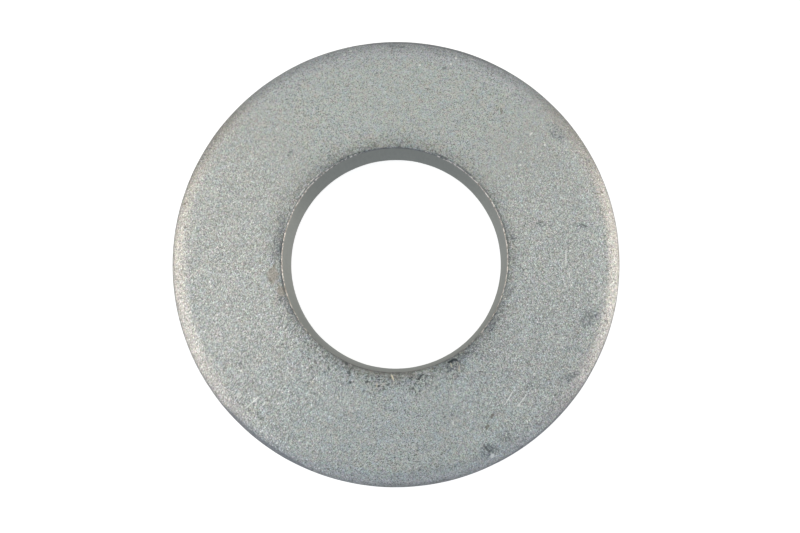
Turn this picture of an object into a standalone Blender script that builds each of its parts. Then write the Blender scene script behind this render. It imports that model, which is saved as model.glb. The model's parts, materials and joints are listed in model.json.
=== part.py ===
"""Conical spring washer: a thick ring of spring steel, pressed into a shallow cone.

The washer lies on its wide rim with the domed side up, its axis on +Z and its origin
at the centre of the circle that it rests on. Its section follows from how the real one
is made. A flat blank is cut from strip, which rolls over the top edge of the outside
and the bottom edge of the bore, and leaves a smooth band and a torn, slightly leaning
band on each cut wall. The blank is then coned, and pressed flat once, which leaves a
narrow level seat on the two edges that bear.
"""

import math

import bmesh
import bpy
from mathutils import Vector

MM = 0.001

# The finished washer
OUTER_DIAMETER = 45.0 * MM
BORE_DIAMETER = 21.25 * MM
THICKNESS = 5.0 * MM
CONE_HEIGHT = 1.2 * MM

# The cut walls of the blank
OUTER_ROLL_WIDTH = 1.9 * MM
OUTER_ROLL_DEPTH = 2.0 * MM
BORE_ROLL_WIDTH = 0.6 * MM
BORE_ROLL_DEPTH = 0.4 * MM
TORN_SHARE_OF_WALL = 0.55
TORN_LEAN = math.radians(1.5)

# The two edges that bear
SEAT_WIDTH = 0.4 * MM
EDGE_BREAK = 0.12 * MM

# Facets
STEPS_ROUND = 144
OUTER_ROLL_STEPS = 10
BORE_ROLL_STEPS = 5
BREAK_STEPS = 3
SHARP_EDGE_ANGLE = math.radians(30)

# Rounds of substitution that settle the slope of the cone
SLOPE_ROUNDS = 20

# The zinc plate
ZINC_COLOUR = (0.402, 0.418, 0.402, 1.0)
ZINC_ROUGHNESS = 0.42


def clear_scene():
    for item in list(bpy.data.objects):
        bpy.data.objects.remove(item, do_unlink=True)


def torn_band(roll_depth):
    """Depth of a cut wall's torn band, and how far the lean sets its far edge back."""
    depth = TORN_SHARE_OF_WALL * (THICKNESS - roll_depth)
    return depth, depth * math.tan(TORN_LEAN)


def roll_reach(width, depth, angle):
    """Sideways reach of a rolled edge's ellipse from its centre, once the blank is coned."""
    return math.hypot(width * math.cos(angle), depth * math.sin(angle))


def corner_radius(angle):
    """Radius of the blank's lower bore corner that leaves the stated bore at its tightest."""
    reach = roll_reach(BORE_ROLL_WIDTH, BORE_ROLL_DEPTH, angle)
    centre = BORE_DIAMETER / 2 + reach
    return centre - BORE_ROLL_WIDTH * math.cos(angle) - BORE_ROLL_DEPTH * math.sin(angle)


def blank_width(angle):
    """Width of the flat blank that leaves the stated outer diameter at its widest."""
    reach = roll_reach(OUTER_ROLL_WIDTH, OUTER_ROLL_DEPTH, angle)
    lean = (THICKNESS - OUTER_ROLL_DEPTH) * math.sin(angle)
    span = OUTER_DIAMETER / 2 - reach - lean - corner_radius(angle)
    return OUTER_ROLL_WIDTH + span / math.cos(angle)


def seat_drop(angle):
    """Height that a corner loses when it is pressed to a seat of the stated width."""
    return SEAT_WIDTH / (1 / math.tan(angle) + math.tan(angle + TORN_LEAN))


def cone_angle():
    """Slope of the faces that gives the stated cone height, by repeated substitution."""
    set_back = torn_band(OUTER_ROLL_DEPTH)[1] + torn_band(BORE_ROLL_DEPTH)[1]
    angle = math.atan(2 * CONE_HEIGHT / (OUTER_DIAMETER - BORE_DIAMETER))
    for _ in range(SLOPE_ROUNDS):
        lost_to_tilt = THICKNESS * (1 - math.cos(angle))
        rise = CONE_HEIGHT + lost_to_tilt + 2 * seat_drop(angle)
        angle = math.asin(rise / (blank_width(angle) - set_back))
    return angle


def rolled(before, corner, after, length_in, length_out, steps):
    """Points of the elliptical arc that replaces a corner, tangent to both its sides."""
    inwards = (corner - before).normalized() * length_in
    outwards = (after - corner).normalized() * length_out
    centre = corner - inwards + outwards
    turns = [math.pi / 2 * step / steps for step in range(steps + 1)]
    return [centre - outwards * math.cos(turn) + inwards * math.sin(turn) for turn in turns]


def washer_section():
    """The outline of the section at +X, anticlockwise seen from -Y."""
    angle = cone_angle()
    width = blank_width(angle)
    outer_torn_depth, outer_set_back = torn_band(OUTER_ROLL_DEPTH)
    bore_torn_depth, bore_set_back = torn_band(BORE_ROLL_DEPTH)
    drop = seat_drop(angle)
    seat_on_face = drop / math.sin(angle)
    seat_on_wall = drop / math.cos(angle + TORN_LEAN)
    wall_shift = seat_on_wall * math.sin(TORN_LEAN)
    wall_rise = seat_on_wall * math.cos(TORN_LEAN)
    lowest_corner = width - outer_set_back
    start = Vector((corner_radius(angle), 0, lowest_corner * math.sin(angle) - drop))
    across = Vector((math.cos(angle), 0, -math.sin(angle)))
    up = Vector((math.sin(angle), 0, math.cos(angle)))

    bore_roll = (BORE_ROLL_DEPTH, BORE_ROLL_WIDTH, BORE_ROLL_STEPS)
    outer_roll = (OUTER_ROLL_DEPTH, OUTER_ROLL_WIDTH, OUTER_ROLL_STEPS)
    edge_break = (EDGE_BREAK, EDGE_BREAK, BREAK_STEPS)
    # Each corner's place across and up the flat blank, and its rounding
    corners = [
        (0, 0, bore_roll),
        (lowest_corner - seat_on_face, 0, None),
        (lowest_corner + wall_shift, wall_rise, edge_break),
        (width, outer_torn_depth, None),
        (width, THICKNESS, outer_roll),
        (bore_set_back + seat_on_face, THICKNESS, None),
        (bore_set_back - wall_shift, THICKNESS - wall_rise, edge_break),
        (0, THICKNESS - bore_torn_depth, None),
    ]
    coned = [start + across * place + up * height for place, height, _ in corners]

    outline = []
    for index, (_, _, rounding) in enumerate(corners):
        if rounding is None:
            outline.append(coned[index])
            continue
        after = coned[(index + 1) % len(coned)]
        outline.extend(rolled(coned[index - 1], coned[index], after, *rounding))
    return outline


def revolved(name, outline):
    """A closed ring: the outline spun once round the Z axis."""
    bm = bmesh.new()
    points = [bm.verts.new(point) for point in outline]
    edges = [bm.edges.new((points[i - 1], points[i])) for i in range(len(points))]
    bmesh.ops.spin(
        bm,
        geom=points + edges,
        cent=(0, 0, 0),
        axis=(0, 0, 1),
        angle=math.tau,
        steps=STEPS_ROUND,
        use_merge=True,
    )
    bmesh.ops.recalc_face_normals(bm, faces=bm.faces)
    mesh = bpy.data.meshes.new(name)
    bm.to_mesh(mesh)
    bm.free()
    ring = bpy.data.objects.new(name, mesh)
    bpy.context.scene.collection.objects.link(ring)
    return ring


def zinc_plate():
    material = bpy.data.materials.new("zinc_plated_spring_steel")
    material.use_nodes = True
    shader = material.node_tree.nodes["Principled BSDF"]
    shader.inputs["Base Color"].default_value = ZINC_COLOUR
    shader.inputs["Metallic"].default_value = 1.0
    shader.inputs["Roughness"].default_value = ZINC_ROUGHNESS
    return material


def conical_spring_washer():
    washer = revolved("conical_spring_washer", washer_section())
    washer.data.materials.append(zinc_plate())
    washer.data.shade_smooth()
    washer.data.set_sharp_from_angle(angle=SHARP_EDGE_ANGLE)
    return washer


clear_scene()
conical_spring_washer()
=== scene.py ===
"""Conical spring washer in dull zinc plate, lying domed side up on a white floor.

The washer's section is drawn as the flat blank, tilted to the cone, cut level at its two
seats and spun round the Z axis. Wear is then pressed into the mesh, and the zinc plate is
painted by nodes that read Object coordinates. Lengths are in metres, and in millimetres
inside the materials.
"""

import json
import math
from collections import namedtuple

import bmesh
import bpy
from mathutils import Matrix, Vector

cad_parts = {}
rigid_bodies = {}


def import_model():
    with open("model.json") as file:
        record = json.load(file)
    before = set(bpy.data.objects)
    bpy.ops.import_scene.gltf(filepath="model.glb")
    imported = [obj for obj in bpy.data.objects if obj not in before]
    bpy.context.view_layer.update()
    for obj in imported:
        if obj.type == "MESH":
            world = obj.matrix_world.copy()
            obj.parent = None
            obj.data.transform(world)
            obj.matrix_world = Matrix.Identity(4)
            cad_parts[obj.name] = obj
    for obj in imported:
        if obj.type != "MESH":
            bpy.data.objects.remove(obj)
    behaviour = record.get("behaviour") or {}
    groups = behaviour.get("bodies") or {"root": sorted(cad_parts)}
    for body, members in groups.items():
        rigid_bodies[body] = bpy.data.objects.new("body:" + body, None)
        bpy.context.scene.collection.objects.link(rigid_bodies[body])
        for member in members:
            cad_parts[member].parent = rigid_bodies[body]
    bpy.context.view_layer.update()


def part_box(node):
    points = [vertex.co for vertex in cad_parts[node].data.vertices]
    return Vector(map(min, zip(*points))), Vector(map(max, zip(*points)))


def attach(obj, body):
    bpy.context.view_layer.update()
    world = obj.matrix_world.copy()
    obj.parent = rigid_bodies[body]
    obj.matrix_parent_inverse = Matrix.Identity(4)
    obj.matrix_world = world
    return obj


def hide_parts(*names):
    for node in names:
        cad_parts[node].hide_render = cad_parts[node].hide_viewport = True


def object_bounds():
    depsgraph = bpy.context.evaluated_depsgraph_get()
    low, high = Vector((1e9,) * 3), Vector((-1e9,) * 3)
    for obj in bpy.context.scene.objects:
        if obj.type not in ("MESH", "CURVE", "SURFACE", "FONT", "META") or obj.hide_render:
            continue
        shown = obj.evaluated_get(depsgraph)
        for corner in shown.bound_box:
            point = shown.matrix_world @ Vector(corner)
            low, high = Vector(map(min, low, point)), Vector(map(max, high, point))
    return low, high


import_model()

MM = 0.001
NODE = "conical_spring_washer"

# The washer's sizes: its outside and its free height are the frame's
OUTER_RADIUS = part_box(NODE)[1].x
FREE_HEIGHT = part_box(NODE)[1].z
THICKNESS = 5.0 * MM
BLANK_WIDTH = 11.64 * MM
CONE_ANGLE = math.radians(6.6)
UPPER_SEAT_EDGE = 11.61 * MM

# Its cut walls and the edges of its seats
OUTER_ROLL_WIDTH = 1.9 * MM
OUTER_ROLL_DEPTH = 2.0 * MM
BORE_ROLL_WIDTH = 0.6 * MM
BORE_ROLL_DEPTH = 0.4 * MM
TORN_SHARE_OF_WALL = 0.55
TORN_LEAN = math.radians(1.5)
EDGE_BREAK = 0.12 * MM

# Soft swells and finer dimples of its whole skin
SWELL_SPAN = 3.2 * MM
SWELL_HEIGHT = 0.035 * MM
DIMPLE_SPAN = 0.9 * MM
DIMPLE_HEIGHT = 0.012 * MM

# Facets: round the axis, in each rounding, and along each stretch of the section
STEPS_ROUND = 640
OUTER_ROLL_STEPS = 14
BORE_ROLL_STEPS = 5
BREAK_STEPS = 3
SEAT_CUTS = 3
WALL_CUTS = 5
DOMED_FACE_CUTS = 58
HOLLOW_FACE_CUTS = 28
SMOOTH_UP_TO = math.radians(40)
SAME_PLACE = 0.001 * MM

# The photograph's frame in pixels, and its camera
FRAME_WIDTH = 800
FRAME_HEIGHT = 533
SENSOR_WIDTH = 36.0
LENS = 83.51
CAMERA_HEIGHT = 190.0 * MM
CAMERA_ASIDE = Vector((-0.379 * MM, 0.118 * MM))
CAMERA_LEAN_BACK = math.radians(-5.39)
CAMERA_LEAN_ASIDE = math.radians(-1.53)
CLIP_START = 10 * MM
CLIP_END = 10

# Steps in which a pixel's ray closes in on the sloping face
AIMING_STEPS = 4


# ------------------------------------------------------------------ the camera


def camera_matrix():
    """Place of the camera in the washer's frame, which looks down on the domed side."""
    aside = Matrix.Translation((CAMERA_ASIDE.x, CAMERA_ASIDE.y, -CAMERA_HEIGHT))
    lean_aside = Matrix.Rotation(CAMERA_LEAN_ASIDE, 4, "Y")
    lean_back = Matrix.Rotation(CAMERA_LEAN_BACK, 4, "X")
    return (aside @ lean_aside @ lean_back).inverted()


def add_camera():
    data = bpy.data.cameras.new("camera")
    data.sensor_width = SENSOR_WIDTH
    data.lens = LENS
    data.clip_start = CLIP_START
    data.clip_end = CLIP_END
    camera = bpy.data.objects.new("camera", data)
    bpy.context.scene.collection.objects.link(camera)
    camera.matrix_world = camera_matrix()
    bpy.context.scene.camera = camera


def face_height(radius):
    """Height of the domed face at a radius."""
    return FREE_HEIGHT - max(radius - UPPER_SEAT_EDGE, 0) * math.tan(CONE_ANGLE)


def on_face(x, y):
    """Point of the domed face that a pixel of the photograph shows."""
    placed = camera_matrix()
    focal = LENS / SENSOR_WIDTH * FRAME_WIDTH
    ray = placed.to_3x3() @ Vector((x - FRAME_WIDTH / 2, FRAME_HEIGHT / 2 - y, -focal))
    point = placed.translation
    for _ in range(AIMING_STEPS):
        height = face_height(point.xy.length)
        point = point + ray * ((height - point.z) / ray.z)
    return point


# -------------------------------------------------- wear seen in the photograph

# A dent's middle in pixels, how far it spreads and how deep it is
Dent = namedtuple("Dent", "x y reach depth")

DENTS = {
    "smudge at 5 o'clock": Dent(451.0, 362.0, 0.75 * MM, 0.045 * MM),
    "its tail": Dent(447.5, 369.0, 0.55 * MM, 0.035 * MM),
    "its raised lip": Dent(459.5, 364.0, 0.50 * MM, -0.030 * MM),
    "gouge under the bore": Dent(420.5, 377.0, 0.45 * MM, 0.060 * MM),
    "foot, dark streak": Dent(487.0, 449.0, 0.60 * MM, 0.035 * MM),
    "foot, pale dab": Dent(492.5, 456.0, 0.50 * MM, -0.030 * MM),
    "low right": Dent(506.0, 435.5, 1.20 * MM, 0.040 * MM),
    "right": Dent(588.0, 320.0, 1.30 * MM, 0.040 * MM),
    "edge at 2 o'clock": Dent(588.5, 158.0, 0.80 * MM, 0.050 * MM),
    "left of the bore": Dent(279.5, 250.0, 0.90 * MM, 0.030 * MM),
    "under the tan patches": Dent(284.0, 302.0, 0.80 * MM, 0.030 * MM),
    "low left": Dent(263.0, 417.0, 0.50 * MM, 0.030 * MM),
    "1 o'clock": Dent(556.0, 131.0, 1.40 * MM, 0.035 * MM),
}

# A mark's middle and size in pixels, its lean from +X towards +Y in degrees, and its strength
Mark = namedtuple("Mark", "x y length width lean strength")

PALE_SCRATCHES = {
    "low right, inner": Mark(509.5, 397.0, 18.5, 1.6, 60, 0.75),
    "low right, outer": Mark(522.5, 400.0, 18.0, 1.5, 52, 0.75),
    "low right, dab": Mark(519.0, 405.0, 4.5, 3.5, 50, 0.75),
    "low left, long": Mark(255.0, 400.2, 12.0, 1.7, 40, 1.0),
    "low left, its lower end": Mark(248.4, 406.0, 9.0, 1.7, 40, 0.65),
    "low left, short": Mark(264.1, 403.4, 8.0, 1.6, 36, 0.50),
    "right, long": Mark(566.0, 257.5, 22.0, 1.6, 88, 0.75),
    "right, short": Mark(569.5, 275.0, 8.0, 1.6, 90, 0.75),
    "high right": Mark(531.0, 134.0, 6.0, 1.8, 55, 0.75),
    "low right, upright": Mark(453.0, 423.0, 5.5, 1.8, 90, 0.75),
    "low left, dab": Mark(238.3, 395.1, 5.5, 4.5, 20, 0.45),
    "low left, far": Mark(280.0, 404.8, 7.0, 1.5, 40, 0.45),
    "fleck at 1 o'clock": Mark(544.7, 145.0, 2.6, 2.6, 0, 0.75),
    "fleck beside it": Mark(520.6, 152.0, 2.6, 2.2, 0, 0.75),
    "fleck below it": Mark(520.3, 165.0, 2.4, 2.4, 0, 0.75),
    "fleck by the bore": Mark(509.0, 176.0, 2.6, 2.4, 0, 0.75),
    "fleck at the top": Mark(456.0, 58.0, 3.0, 2.4, 30, 0.75),
    "second at the top": Mark(451.0, 64.0, 2.6, 2.4, 0, 0.75),
    "third at the top": Mark(420.0, 65.0, 2.6, 2.2, 0, 0.75),
    "dab at the foot": Mark(492.3, 456.0, 6.0, 4.6, 60, 0.75),
    "first at the top's edge": Mark(350.5, 50.5, 5.0, 2.6, 20, 0.50),
    "second at the top's edge": Mark(344.5, 54.3, 4.0, 2.6, 30, 0.50),
    "third at the top's edge": Mark(382.8, 47.6, 4.0, 2.2, 0, 0.45),
    "fourth at the top's edge": Mark(471.6, 58.4, 4.0, 2.4, -20, 0.50),
}

CREAM_SCRATCHES = {
    "under the bore": Mark(392.6, 377.6, 8.4, 1.7, -68, 0.78),
    "left of it": Mark(376.8, 385.2, 5.5, 1.7, 82, 0.50),
    "in the smudge, left": Mark(451.3, 365.2, 6.0, 1.6, -72, 0.40),
    "in the smudge, right": Mark(459.2, 368.6, 8.0, 1.6, 86, 0.40),
}

DARK_NICKS = {
    "smudge at 5 o'clock": Mark(451.0, 361.2, 8.4, 4.2, 24, 1.0),
    "smudge, its right end": Mark(455.0, 360.2, 5.6, 3.2, -8, 0.90),
    "gouge under the bore": Mark(420.9, 376.7, 7.4, 2.6, 42, 0.80),
    "gouge, its foot": Mark(418.9, 378.5, 3.2, 2.8, 0, 0.90),
    "pit left of it": Mark(388.0, 384.0, 4.0, 3.2, 20, 0.68),
    "pit further left": Mark(378.5, 386.0, 3.6, 3.2, 0, 0.68),
    "pit at 7 o'clock": Mark(349.2, 372.5, 5.0, 4.0, -30, 0.68),
    "pit below it": Mark(349.5, 382.0, 3.6, 3.2, 0, 0.68),
    "pit right of it": Mark(366.5, 382.0, 4.0, 3.0, 10, 0.68),
    "pair, left": Mark(409.5, 388.7, 3.4, 2.8, 0, 0.68),
    "pair, right": Mark(412.8, 388.5, 3.0, 2.8, 0, 0.68),
    "single": Mark(419.5, 391.5, 3.4, 2.8, 0, 0.68),
    "beside the gouge": Mark(426.7, 375.7, 3.0, 2.6, 0, 0.50),
    "above the pair": Mark(414.5, 384.4, 3.0, 2.8, 0, 0.55),
    "right of the single": Mark(436.4, 387.4, 3.6, 2.8, 0, 0.50),
    "left of the scratch": Mark(384.4, 379.8, 3.2, 2.8, 0, 0.50),
    "right of the scratch": Mark(399.2, 381.8, 3.2, 2.6, 30, 0.45),
    "under the stain": Mark(372.4, 378.6, 3.4, 2.8, 0, 0.50),
    "foot of the rim": Mark(346.6, 363.7, 3.2, 2.8, 40, 0.60),
    "low, left of the scratch": Mark(382.9, 389.2, 3.0, 2.6, 0, 0.40),
}

GREY_SPECKS = {
    "smudge, left foot": Mark(447.5, 366.0, 5.0, 4.0, 70, 0.40),
    "smudge, left toe": Mark(449.0, 371.0, 5.5, 3.4, 35, 0.42),
    "smudge, its cap": Mark(459.2, 356.6, 4.2, 3.6, -60, 0.42),
    "smudge, beside the cap": Mark(456.6, 358.4, 3.6, 3.0, 0, 0.32),
    "smudge, upright line": Mark(460.3, 362.5, 11.0, 2.0, -84, 0.36),
    "smudge, blue hollow": Mark(454.0, 366.5, 6.0, 4.0, 60, 0.22),
    "smudge, dot below": Mark(453.5, 374.3, 2.8, 2.4, 0, 0.45),
    "smudge, lower left dot": Mark(447.4, 378.4, 2.8, 2.4, 0, 0.50),
    "smudge, lower right dot": Mark(450.6, 378.4, 2.8, 2.2, 0, 0.45),
    "smudge, right dot": Mark(462.7, 372.0, 3.0, 2.4, -50, 0.50),
    "smudge, right upright": Mark(465.6, 361.2, 3.8, 2.0, 80, 0.38),
    "smudge, far right": Mark(482.2, 352.8, 3.4, 3.0, 0, 0.45),
    "beside the foot's dab": Mark(486.8, 449.0, 12.0, 3.2, -50, 0.45),
    "above the foot's dab": Mark(491.5, 447.5, 6.0, 2.6, -60, 0.45),
    "edge of the smudge": Mark(457.5, 375.8, 4.0, 2.2, 20, 0.38),
    "below the smudge": Mark(445.0, 417.0, 3.2, 3.0, 0, 0.45),
    "beside that": Mark(452.0, 415.0, 3.0, 2.8, 0, 0.45),
    "low left scratch": Mark(262.6, 417.2, 9.0, 1.7, 30, 0.45),
    "low left": Mark(253.0, 382.6, 3.4, 3.0, 0, 0.45),
    "low left, lower": Mark(249.5, 411.3, 3.6, 3.2, 0, 0.45),
    "foot, left": Mark(288.3, 439.6, 3.4, 3.2, 0, 0.45),
    "by the bore, left": Mark(311.9, 367.9, 3.4, 3.0, 0, 0.45),
    "right, low": Mark(555.5, 395.0, 3.2, 3.0, 0, 0.45),
    "right, middle": Mark(575.0, 375.0, 3.0, 2.8, 0, 0.45),
    "top, 11 o'clock": Mark(347.0, 86.0, 3.2, 2.8, 0, 0.45),
    "top, left": Mark(377.0, 74.0, 3.2, 2.8, 0, 0.45),
    "top, middle": Mark(428.0, 90.0, 3.2, 2.8, 0, 0.45),
    "top, right": Mark(436.0, 53.0, 3.4, 2.8, 0, 0.45),
    "top, further right": Mark(445.0, 68.0, 6.0, 2.6, 15, 0.45),
    "above the bore": Mark(393.0, 112.0, 3.0, 2.8, 0, 0.45),
    "right edge, high": Mark(604.0, 236.0, 3.2, 3.0, 0, 0.45),
    "right edge, middle": Mark(607.0, 271.0, 3.2, 3.0, 0, 0.45),
    "right edge, low": Mark(605.0, 313.0, 3.4, 3.0, 0, 0.45),
    "left edge": Mark(185.0, 228.0, 3.4, 2.8, 0, 0.45),
    "wrinkle, inner": Mark(539.5, 223.2, 9.0, 1.9, 16, 0.50),
    "wrinkle, middle": Mark(551.0, 225.8, 7.0, 1.8, -14, 0.44),
    "wrinkle, outer": Mark(583.4, 225.2, 12.0, 2.0, -14, 0.62),
    "right of the bore": Mark(512.0, 237.5, 6.0, 3.0, -50, 0.42),
    "top edge, left": Mark(391.0, 45.2, 10.0, 2.8, -6, 0.42),
    "top edge, right": Mark(400.5, 46.8, 8.0, 2.6, 8, 0.38),
    "8 o'clock, first": Mark(315.2, 361.5, 3.4, 3.0, 0, 0.45),
    "8 o'clock, second": Mark(320.2, 356.9, 3.4, 2.8, 40, 0.50),
    "8 o'clock, third": Mark(320.2, 368.6, 3.2, 2.8, 0, 0.42),
    "8 o'clock, fourth": Mark(325.2, 371.8, 3.6, 3.0, 0, 0.45),
    "8 o'clock, fifth": Mark(329.0, 368.0, 3.4, 3.0, 0, 0.48),
    "8 o'clock, sixth": Mark(308.3, 358.8, 3.2, 2.8, 0, 0.38),
    "low left, upper": Mark(240.2, 363.8, 3.4, 3.0, 0, 0.38),
    "low left, middle": Mark(258.6, 413.5, 3.2, 2.8, 0, 0.36),
    "low left, at the edge": Mark(277.4, 447.2, 4.0, 3.0, -40, 0.40),
    "low left, inner": Mark(291.5, 420.0, 3.2, 2.8, 0, 0.34),
    "right edge, lower": Mark(606.0, 321.0, 3.4, 3.0, 0, 0.42),
}

DARK_PATCHES = {
    "smudge at 5 o'clock": Mark(451.5, 364.0, 26.0, 17.0, 25, 1.0),
    "low right": Mark(506.0, 435.5, 18.0, 11.0, 30, 1.0),
    "foot's dab": Mark(489.0, 450.0, 22.0, 17.0, 30, 1.0),
    "4 o'clock": Mark(570.0, 377.0, 26.0, 9.0, 30, 1.0),
    "right": Mark(589.5, 319.0, 28.0, 15.0, 50, 1.0),
    "1 o'clock": Mark(556.0, 131.5, 30.0, 15.0, -45, 1.0),
    "high": Mark(517.0, 95.0, 8.0, 5.0, -30, 1.0),
    "11 o'clock": Mark(298.0, 87.0, 8.0, 6.0, 20, 1.0),
    "10 o'clock": Mark(290.0, 153.0, 9.0, 6.0, 40, 1.0),
    "left of the bore": Mark(280.0, 218.5, 8.0, 8.0, 0, 1.0),
    "8 o'clock, by the bore": Mark(290.0, 310.0, 22.0, 10.0, -60, 1.0),
    "smeared beside the bore": Mark(277.0, 247.0, 34.0, 13.0, 84, 1.0),
    "10 o'clock, by the bore": Mark(281.0, 226.0, 22.0, 9.0, 70, 1.0),
    "4 o'clock, by the bore": Mark(494.0, 323.0, 34.0, 9.0, 58, 1.0),
    "5 o'clock, by the bore": Mark(470.0, 350.0, 30.0, 10.0, 38, 1.0),
    "foot of the tan": Mark(283.0, 300.0, 12.0, 7.0, -40, 1.0),
    "outer edge, 2 o'clock": Mark(587.5, 158.5, 10.0, 6.0, -52, 1.0),
    "wrinkle, inner": Mark(541.0, 225.0, 23.0, 1.8, -8, 1.0),
    "wrinkle, outer": Mark(577.5, 225.5, 22.0, 1.8, -14, 1.0),
    "cross line": Mark(279.0, 258.0, 8.0, 2.0, 0, 1.0),
    "right of the bore": Mark(513.0, 237.0, 12.0, 7.0, -50, 1.0),
    "right of the bore, low": Mark(510.0, 292.0, 10.0, 6.0, 60, 1.0),
    "top edge": Mark(396.5, 46.3, 22.0, 5.0, 0, 1.0),
}

TAN_PATCHES = {
    "upper": Mark(272.9, 274.6, 23.0, 16.5, 84, 1.0),
    "lower": Mark(281.5, 290.8, 18.5, 9.5, -66, 1.0),
}

BROWN_MARKS = {
    "dot, low right": Mark(487.2, 426.8, 6.0, 3.6, 72, 0.7),
    "dot above it": Mark(492.4, 415.8, 6.0, 3.2, 75, 0.7),
    "dot, right": Mark(578.0, 333.0, 3.8, 3.2, 0, 0.7),
    "dot, foot": Mark(328.0, 469.0, 3.8, 3.4, 0, 0.7),
    "dot, edge": Mark(602.0, 192.5, 4.0, 3.4, 0, 0.7),
    "line to the edge": Mark(596.0, 193.0, 9.0, 1.8, -12, 0.7),
    "curve at 1 o'clock": Mark(501.0, 111.5, 9.0, 2.2, 80, 0.5),
    "streak at the top": Mark(391.0, 52.0, 10.0, 2.4, 62, 0.32),
    "smudge, inner trace": Mark(457.6, 363.6, 8.0, 1.6, -72, 0.26),
    "smudge, outer trace": Mark(462.3, 364.0, 6.0, 1.6, 80, 0.26),
    "smudge, tail": Mark(459.3, 369.4, 7.0, 1.8, -88, 0.34),
    "smudge, fill": Mark(450.6, 366.4, 6.0, 2.0, -70, 0.22),
    "smudge, below": Mark(457.2, 376.8, 3.0, 2.0, 0, 0.40),
    "rim, 5 o'clock": Mark(432.8, 368.6, 3.6, 2.4, 20, 0.62),
    "rim, beside it": Mark(430.6, 371.6, 3.0, 2.4, -20, 0.42),
    "rim, right of the smudge": Mark(468.2, 346.2, 4.0, 3.4, -30, 0.34),
    "rim, above it": Mark(470.2, 347.6, 3.4, 2.6, 10, 0.30),
    "rim, left of that": Mark(463.3, 352.1, 3.4, 2.4, 10, 0.34),
    "left edge": Mark(184.0, 203.0, 5.0, 4.0, 60, 0.7),
    "trail of the tan": Mark(260.1, 282.8, 7.0, 2.6, 55, 0.22),
}


# ------------------------------------------------------------------- modelling


def deselect_all():
    for item in bpy.context.view_layer.objects:
        item.select_set(False)


def choose(washer, points=None, edges=None):
    """In edit mode, selects just the points, or the edges, that pass a test on places."""
    mesh = bmesh.from_edit_mesh(washer.data)
    for part in (*mesh.faces, *mesh.edges, *mesh.verts):
        part.select = False
    if points:
        for point in mesh.verts:
            point.select = points(point.co)
        mesh.select_flush(True)
    if edges:
        for edge in mesh.edges:
            if edges(edge.verts[0].co, edge.verts[1].co):
                edge.select = True
    bmesh.update_edit_mesh(washer.data)


def same(value, target):
    return abs(value - target) < SAME_PLACE


def roll_corner(washer, corner_x, corner_z, width, depth, steps):
    """Rounds a corner of the blank: a width along the face and a depth down the wall."""
    choose(washer, points=lambda p: same(p.x, corner_x) and same(p.z, corner_z))
    bpy.ops.mesh.bevel(offset=depth, segments=steps, profile=0.5, affect="VERTICES")
    reach = depth + SAME_PLACE
    choose(washer, points=lambda p: abs(p.x - corner_x) < reach and abs(p.z - corner_z) < reach)
    bpy.ops.transform.resize(value=(width / depth, 1, 1), center_override=(corner_x, 0, corner_z))


def tear_wall(washer, wall_x, roll_z, corner_z, inwards):
    """Splits a cut wall where it tore, and leans its torn band back to the far corner."""
    torn_depth = TORN_SHARE_OF_WALL * abs(corner_z - roll_z)
    ends = sorted((roll_z, corner_z))

    def whole_wall(a, b):
        low, high = sorted((a.z, b.z))
        upright = same(a.x, wall_x) and same(b.x, wall_x)
        return upright and same(low, ends[0]) and same(high, ends[1])

    choose(washer, edges=whole_wall)
    bpy.ops.mesh.subdivide(number_cuts=1)
    middle = sum(ends) / 2
    tear_line = corner_z + math.copysign(torn_depth, roll_z - corner_z)
    choose(washer, points=lambda p: same(p.x, wall_x) and same(p.z, middle))
    bpy.ops.transform.translate(value=(0, 0, tear_line - middle))
    choose(washer, points=lambda p: same(p.x, wall_x) and same(p.z, corner_z))
    bpy.ops.transform.translate(value=(inwards * torn_depth * math.tan(TORN_LEAN), 0, 0))


def draw_blank():
    """The blank's section in the XZ plane: the bore wall at X 0, the hollow side at Z 0."""
    bpy.ops.mesh.primitive_plane_add(size=1, location=(0.5, 0, 0.5), rotation=(math.pi / 2, 0, 0))
    washer = bpy.context.object
    washer.name = "washer"
    bpy.ops.object.transform_apply(location=True, rotation=True, scale=True)
    bpy.ops.object.mode_set(mode="EDIT")
    bpy.ops.mesh.select_all(action="SELECT")
    bpy.ops.transform.resize(value=(BLANK_WIDTH, 1, THICKNESS), center_override=(0, 0, 0))
    roll_corner(washer, BLANK_WIDTH, THICKNESS, OUTER_ROLL_WIDTH, OUTER_ROLL_DEPTH, OUTER_ROLL_STEPS)
    roll_corner(washer, 0, 0, BORE_ROLL_WIDTH, BORE_ROLL_DEPTH, BORE_ROLL_STEPS)
    tear_wall(washer, BLANK_WIDTH, THICKNESS - OUTER_ROLL_DEPTH, 0, -1)
    tear_wall(washer, 0, BORE_ROLL_DEPTH, THICKNESS, 1)
    return washer


def reach_along(washer, axis):
    places = [point.co[axis] for point in bmesh.from_edit_mesh(washer.data).verts]
    return min(places), max(places)


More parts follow.
